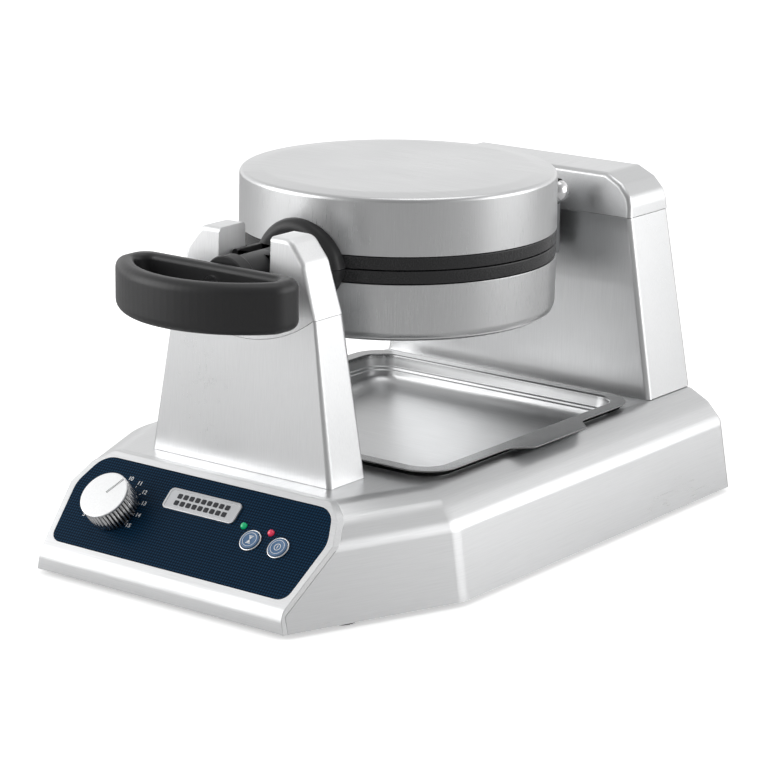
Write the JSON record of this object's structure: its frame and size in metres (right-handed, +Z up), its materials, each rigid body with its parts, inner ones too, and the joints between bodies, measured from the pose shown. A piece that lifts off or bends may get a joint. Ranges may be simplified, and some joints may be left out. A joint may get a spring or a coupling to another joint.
{
  "type": "waffle maker",
  "caption": "Rotary waffle maker: round plates that flip between two towers on a sheet-steel base, with loop handle, timer knob, push buttons and a lift-out drip tray.",
  "frame": {"origin": "on the table under the middle of the machine, at the centre of its footprint", "axes": "+X to the right seen from the control panel, +Y from the control panel and handle to the back wall, +Z up"},
  "size_m": [0.288, 0.43, 0.234],
  "materials": {
    "brushed_steel": "brushed",
    "polished_steel": "polished",
    "satin_trim": "satin",
    "handle_black": "fine matte texture",
    "rim_black": "satin",
    "overlay_navy": "printed film",
    "foot_rubber": "matte",
    "grid_coating": "non-stick coating",
    "cast_aluminium": "as cast",
    "bushing_bronze": "machined",
    "bright_hardware": "plated",
    "washer_black": "matte",
    "knob_grip": "ribbed, plated",
    "knob_face": "spun",
    "button_blue": "satin",
    "led_green": "moulded lens",
    "led_red": "moulded lens",
    "board_green": "solder mask",
    "switch_black": "moulded",
    "terminal_cream": "moulded",
    "element_sheath": "heat tinted",
    "insulation": "mineral wool",
    "thermostat_steel": "plain"
  },
  "bodies": {
    "root": {"base_shell": "brushed_steel", "base_pan": "brushed_steel", "well_pan": "brushed_steel", "foot_front_left": "foot_rubber", "foot_front_right": "foot_rubber", "foot_rear_left": "foot_rubber", "foot_rear_right": "foot_rubber", "foot_screws": "bright_hardware", "front_fascia": "satin_trim", "control_overlay": "overlay_navy", "badge_plate": "polished_steel", "timer_switch": "switch_black", "button_rings": "bright_hardware", "led_green": "led_green", "led_red": "led_red", "control_board": "board_green", "board_standoffs": "bright_hardware", "tact_switches": "switch_black", "power_relay": "switch_black", "terminal_block": "terminal_cream", "cord_gland": "switch_black", "front_tower": "brushed_steel", "front_yoke": "brushed_steel", "shaft_saddle": "handle_black", "rear_tower": "brushed_steel", "rear_cap": "brushed_steel", "tower_screws": "bright_hardware", "spindle_flange": "handle_black", "spindle_block": "cast_aluminium", "spindle_bushing": "bushing_bronze"},
    "rotor": {"spindle": "bright_hardware", "spindle_collar": "cast_aluminium", "carrier": "cast_aluminium", "hinge_pin": "bright_hardware", "dome_nuts": "bright_hardware", "hinge_washers": "washer_black", "lower_housing": "brushed_steel", "lower_rim": "rim_black", "lower_grid": "grid_coating", "lower_element": "element_sheath", "lower_insulation": "insulation", "lower_thermostat": "thermostat_steel", "lower_hub": "handle_black"},
    "lid": {"upper_housing": "brushed_steel", "upper_rim": "rim_black", "upper_grid": "grid_coating", "upper_element": "element_sheath", "upper_insulation": "insulation", "upper_thermostat": "thermostat_steel", "upper_hub": "handle_black", "lid_arms": "cast_aluminium", "handle_shaft": "handle_black", "handle": "handle_black", "handle_bolt": "bright_hardware"},
    "tray": {"drip_tray": "polished_steel"},
    "knob": {"timer_knob": "knob_grip", "knob_cap": "knob_face", "timer_shaft": "bright_hardware"},
    "start_key": {"start_button": "button_blue"},
    "standby_key": {"standby_button": "button_blue"}
  },
  "joints": [
    {"name": "plates_flip", "type": "hinge", "parent": "root", "child": "rotor", "pos_m": [0, 0.0226, 0.1876], "axis": [0, -1, 0], "range_deg": [-180, 0]},
    {"name": "lid_open", "type": "hinge", "parent": "rotor", "child": "lid", "pos_m": [0, 0.135, 0.206], "axis": [-1, 0, 0], "range_deg": [0, 95]},
    {"name": "tray_lift", "type": "slide", "parent": "root", "child": "tray", "axis": [0, 0, 1], "range_m": [0, 0.05]},
    {"name": "timer_knob_turn", "type": "hinge", "parent": "root", "child": "knob", "pos_m": [-0.0592, -0.18494, 0.04184], "axis": [0, -0.666, 0.7459], "range_deg": [-90, 150]},
    {"name": "start_button_press", "type": "slide", "parent": "root", "child": "start_key", "axis": [0, 0.666, -0.7459], "range_m": [0, 0.0012], "stiffness_N_per_m": 600, "springref_m": -0.0008},
    {"name": "standby_button_press", "type": "slide", "parent": "root", "child": "standby_key", "axis": [0, 0.666, -0.7459], "range_m": [0, 0.0012], "stiffness_N_per_m": 600, "springref_m": -0.0008}
  ]
}
